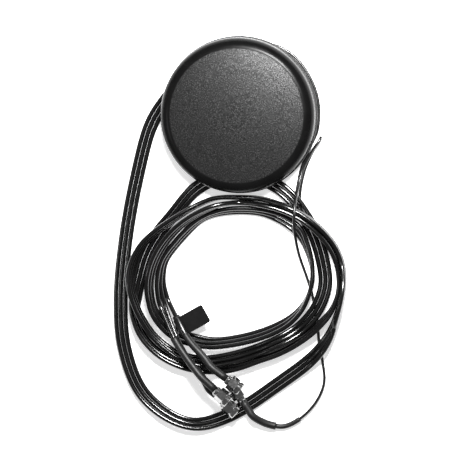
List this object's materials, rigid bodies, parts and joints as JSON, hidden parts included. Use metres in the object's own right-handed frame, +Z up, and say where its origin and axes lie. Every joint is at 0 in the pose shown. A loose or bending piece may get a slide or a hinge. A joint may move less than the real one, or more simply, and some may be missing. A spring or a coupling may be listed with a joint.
{
  "type": "combination antenna for satellite navigation",
  "caption": "Low round adhesive-mount satellite-navigation antenna with a coiled flat coaxial lead, a thin coaxial lead and screw-on coaxial plugs.",
  "frame": {"origin": "centre of the adhesive mounting face under the puck, level with the floor the leads lie on", "axes": "+Z up out of the top of the puck, -Y towards the coil and plugs, +X to the right as seen from above with the coil below the puck"},
  "size_m": [0.1415, 0.238, 0.0215],
  "materials": {
    "radome_plastic": "fine spark texture on top, smooth dark shoulder",
    "base_plastic": "moulded, fine texture",
    "seal_rubber": "matt",
    "pad_foam": "closed-cell foam, matt",
    "screw_steel": "zinc plated",
    "tinned_sheet": "tinned",
    "board_green": "solder mask over glass-epoxy board",
    "component_black": "moulded packages",
    "patch_ceramic": "fired, unglazed",
    "silver_fired": "fired silver",
    "nylon_black": "moulded nylon",
    "lead_jacket": "glossy extruded jacket",
    "thin_lead_jacket": "glossy extruded jacket",
    "ptfe": "white fluoropolymer",
    "gasket_silicone": "silicone",
    "spring_bronze": "bright",
    "nickel": "nickel plated, turned",
    "shrink_sleeve": "matt heat-shrink tubing",
    "label_film": "black film with satin sheen",
    "gold_plate": "gold plated, turned"
  },
  "bodies": {
    "root": {"radome": "radome_plastic", "base_plate": "base_plastic", "seal_ring": "seal_rubber", "adhesive_pad": "pad_foam", "base_screws": "screw_steel", "plate_screws": "screw_steel", "clamp_screws": "screw_steel", "ground_plate": "tinned_sheet", "lna_shield_can": "tinned_sheet", "cellular_radiator_left": "tinned_sheet", "cellular_radiator_right": "tinned_sheet", "lna_board": "board_green", "wifi_radiator": "board_green", "board_components": "component_black", "gnss_patch": "patch_ceramic", "patch_electrode": "silver_fired", "patch_feed_pin": "silver_fired", "cable_clamp": "nylon_black", "ribbon_grommet": "seal_rubber", "thin_lead_grommet": "seal_rubber", "lead_a": "lead_jacket", "lead_b": "lead_jacket", "lead_c": "lead_jacket", "thin_lead": "thin_lead_jacket", "plug_insulators": "ptfe", "plug_gaskets": "gasket_silicone", "plug_snap_rings": "spring_bronze", "crimp_ferrules": "nickel", "sleeve_a": "shrink_sleeve", "sleeve_b": "shrink_sleeve", "sleeve_c": "shrink_sleeve", "sleeve_thin_lead": "shrink_sleeve", "flag_label": "label_film", "plug_body_a": "nickel", "centre_pin_a": "gold_plate", "plug_body_b": "nickel", "centre_pin_b": "gold_plate", "plug_body_c": "nickel", "centre_pin_c": "gold_plate", "plug_body_d": "nickel", "centre_pin_d": "gold_plate"},
    "nut_a": {"coupling_nut_a": "nickel"},
    "nut_b": {"coupling_nut_b": "nickel"},
    "nut_c": {"coupling_nut_c": "nickel"},
    "nut_d": {"coupling_nut_d": "nickel"}
  },
  "joints": [
    {"name": "nut_a_spin", "type": "hinge", "parent": "root", "child": "nut_a", "pos_m": [-0.00125, -0.16167, 0.0148], "axis": [0.7986, -0.6018, 0], "continuous": true},
    {"name": "nut_b_spin", "type": "hinge", "parent": "root", "child": "nut_b", "pos_m": [-0.00812, -0.16859, 0.017], "axis": [0.7431, -0.6691, 0], "continuous": true},
    {"name": "nut_c_spin", "type": "hinge", "parent": "root", "child": "nut_c", "pos_m": [-0.00461, -0.1766, 0.00849], "axis": [0.7413, -0.6675, -0.0698], "continuous": true},
    {"name": "nut_d_spin", "type": "hinge", "parent": "root", "child": "nut_d", "pos_m": [-0.00171, -0.16674, 0.00512], "axis": [-0.5699, 0.82, -0.0523], "continuous": true}
  ]
}
